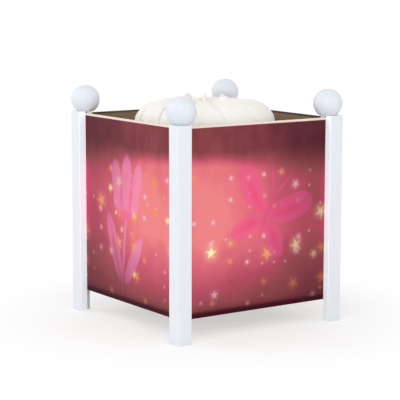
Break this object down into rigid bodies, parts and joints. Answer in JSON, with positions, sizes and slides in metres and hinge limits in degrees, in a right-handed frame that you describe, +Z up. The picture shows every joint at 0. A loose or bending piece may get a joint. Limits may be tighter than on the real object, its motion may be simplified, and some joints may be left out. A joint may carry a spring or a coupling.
{
  "type": "rotating motion lamp",
  "caption": "Square table lantern with ball-topped posts and translucent printed panels round a drum that turns on a needle over a bulb.",
  "frame": {"origin": "on the table, under the middle of the lantern", "axes": "+Z up; the corner at -X -Y is the one nearest in the picture"},
  "size_m": [0.1678, 0.1678, 0.1926],
  "materials": {
    "white_lacquer": "satin white lacquer on wood",
    "dowel_wood": "bare beech",
    "board_wood": "white primed board",
    "printed_sheet": "matt translucent sheet, printed in pink and dark red",
    "screw_steel": "zinc plated",
    "gland_rubber": "white rubber",
    "plate_steel": "zinc plated sheet",
    "holder_plastic": "moulded, heat resistant",
    "brass": "turned brass",
    "bulb_glass": "frosted warm glass, lit",
    "cap_metal": "rolled cap",
    "stem_glass": "clear glass",
    "filament_metal": "drawn wire",
    "bridge_steel": "bright drawn wire",
    "drum_white": "white moulding",
    "vane_sheet": "white translucent sheet",
    "drum_print": "clear film with printed colours"
  },
  "bodies": {
    "root": {"base_board": "board_wood", "board_screws": "screw_steel", "post_front": "white_lacquer", "post_right": "white_lacquer", "post_back": "white_lacquer", "post_left": "white_lacquer", "finial_front": "white_lacquer", "finial_right": "white_lacquer", "finial_back": "white_lacquer", "finial_left": "white_lacquer", "finial_dowels": "dowel_wood", "panel_left_front": "printed_sheet", "panel_right_front": "printed_sheet", "panel_right_back": "printed_sheet", "panel_left_back": "printed_sheet", "cord_gland": "gland_rubber", "holder_plate": "plate_steel", "plate_screws": "screw_steel", "holder_body": "holder_plastic", "holder_sleeve": "brass", "holder_contact": "brass", "wire_bridge": "bridge_steel", "needle_boss": "brass", "pivot_needle": "bridge_steel"},
    "bulb": {"bulb_glass": "bulb_glass", "bulb_cap": "cap_metal", "bulb_stem": "stem_glass", "bulb_filament": "filament_metal"},
    "bearing": {"bearing_cup": "brass"},
    "drum": {"drum_hub": "drum_white", "drum_vanes": "vane_sheet", "drum_film": "drum_print", "drum_top_ring": "drum_white", "drum_bottom_ring": "drum_white"}
  },
  "joints": [
    {"name": "drum_spin", "type": "hinge", "parent": "root", "child": "bearing", "pos_m": [0, 0, 0.173], "axis": [0, 0, 1], "continuous": true},
    {"name": "drum_lift", "type": "slide", "parent": "bearing", "child": "drum", "axis": [0, 0, 1], "range_m": [0, 0.16]},
    {"name": "bulb_out", "type": "slide", "parent": "root", "child": "bulb", "axis": [0, 0, 1], "range_m": [0, 0.024]}
  ]
}
